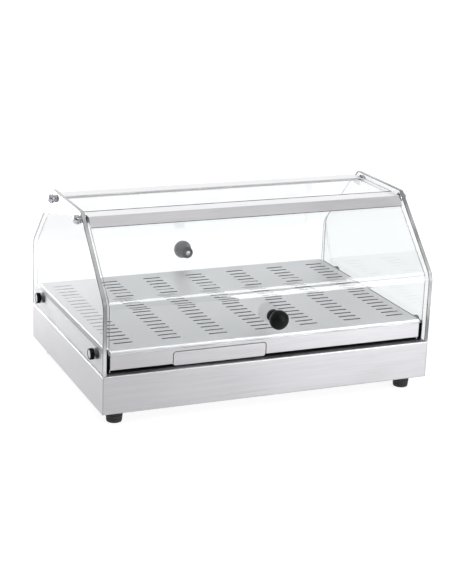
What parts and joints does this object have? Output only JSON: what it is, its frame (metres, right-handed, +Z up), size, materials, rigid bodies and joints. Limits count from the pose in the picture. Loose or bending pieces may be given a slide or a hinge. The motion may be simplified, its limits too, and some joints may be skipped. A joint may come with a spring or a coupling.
{
  "type": "hot food display case",
  "caption": "Countertop heated display case: clear end panels and lift-up front and rear flaps over a slotted shelf, a pull-out water tray and a heated steel casing.",
  "frame": {"origin": "centre of the overall box, at the height of the surface that the feet stand on", "axes": "+X along the case's length to the right seen from the front, +Y from front to rear, +Z up; the front, with the tray, faces -Y"},
  "size_m": [0.5166, 0.393, 0.2783],
  "materials": {
    "stainless_steel": "brushed along its length",
    "chrome": "polished",
    "clear_acrylic": "clear, polished faces",
    "black_plastic": "satin, moulded",
    "black_rubber": "matte, moulded",
    "heater_sheath": "annealed, heat darkened",
    "mineral_wool": "needled mat"
  },
  "bodies": {
    "case": {"front_panel": "stainless_steel", "rear_panel": "stainless_steel", "left_side_panel": "stainless_steel", "right_side_panel": "stainless_steel", "base_plate": "stainless_steel", "deck_plate": "stainless_steel", "front_left_foot": "black_rubber", "front_left_foot_screw": "stainless_steel", "front_right_foot": "black_rubber", "front_right_foot_screw": "stainless_steel", "rear_left_foot": "black_rubber", "rear_left_foot_screw": "stainless_steel", "rear_right_foot": "black_rubber", "rear_right_foot_screw": "stainless_steel", "left_end_panel": "clear_acrylic", "right_end_panel": "clear_acrylic", "roof_panel": "clear_acrylic", "front_tie_rod": "chrome", "front_left_rod_bush": "chrome", "front_left_dome_nut": "chrome", "front_right_rod_bush": "chrome", "front_right_dome_nut": "chrome", "rear_tie_rod": "chrome", "rear_left_rod_bush": "chrome", "rear_left_dome_nut": "chrome", "rear_right_rod_bush": "chrome", "rear_right_dome_nut": "chrome", "left_front_panel_screw": "black_plastic", "left_rear_panel_screw": "black_plastic", "right_front_panel_screw": "black_plastic", "right_rear_panel_screw": "black_plastic", "left_tray_runner": "stainless_steel", "right_tray_runner": "stainless_steel", "heating_element": "heater_sheath", "left_heater_clip": "stainless_steel", "right_heater_clip": "stainless_steel", "heat_reflector": "stainless_steel", "insulation_blanket": "mineral_wool", "thermostat_body": "black_plastic", "thermostat_bulb": "chrome", "switch_housing": "black_plastic", "cable_gland": "black_plastic"},
    "front_flap": {"front_hinge_channel": "stainless_steel", "front_channel_gasket": "black_rubber", "front_flap_pane": "clear_acrylic", "front_flap_knob": "black_plastic", "front_knob_screw": "chrome", "front_knob_washer": "black_rubber"},
    "rear_flap": {"rear_hinge_channel": "stainless_steel", "rear_channel_gasket": "black_rubber", "rear_flap_pane": "clear_acrylic", "rear_flap_knob": "black_plastic", "rear_knob_screw": "chrome", "rear_knob_washer": "black_rubber"},
    "shelf": {"perforated_shelf": "stainless_steel"},
    "tray": {"tray_front": "stainless_steel", "tray_pan": "stainless_steel"},
    "thermostat_dial": {"thermostat_dial": "black_plastic"},
    "switch_rocker": {"switch_rocker": "black_plastic"}
  },
  "joints": [
    {"name": "front_flap_hinge", "type": "hinge", "parent": "case", "child": "front_flap", "pos_m": [0, -0.0603, 0.266], "axis": [-1, 0, 0], "range_deg": [0, 110]},
    {"name": "rear_flap_hinge", "type": "hinge", "parent": "case", "child": "rear_flap", "pos_m": [0, 0.0603, 0.266], "axis": [1, 0, 0], "range_deg": [0, 110]},
    {"name": "tray_slide", "type": "slide", "parent": "case", "child": "tray", "axis": [0, -1, 0], "range_m": [0, 0.2]},
    {"name": "shelf_lift", "type": "slide", "parent": "case", "child": "shelf", "axis": [0, 0, 1], "range_m": [0, 0.015]},
    {"name": "thermostat_turn", "type": "hinge", "parent": "case", "child": "thermostat_dial", "pos_m": [0.17, 0.174, 0.0475], "axis": [0, -1, 0], "range_deg": [0, 270]},
    {"name": "switch_rock", "type": "hinge", "parent": "case", "child": "switch_rocker", "pos_m": [0.11, 0.1683, 0.0475], "axis": [0, 0, 1], "range_deg": [0, 16]}
  ]
}
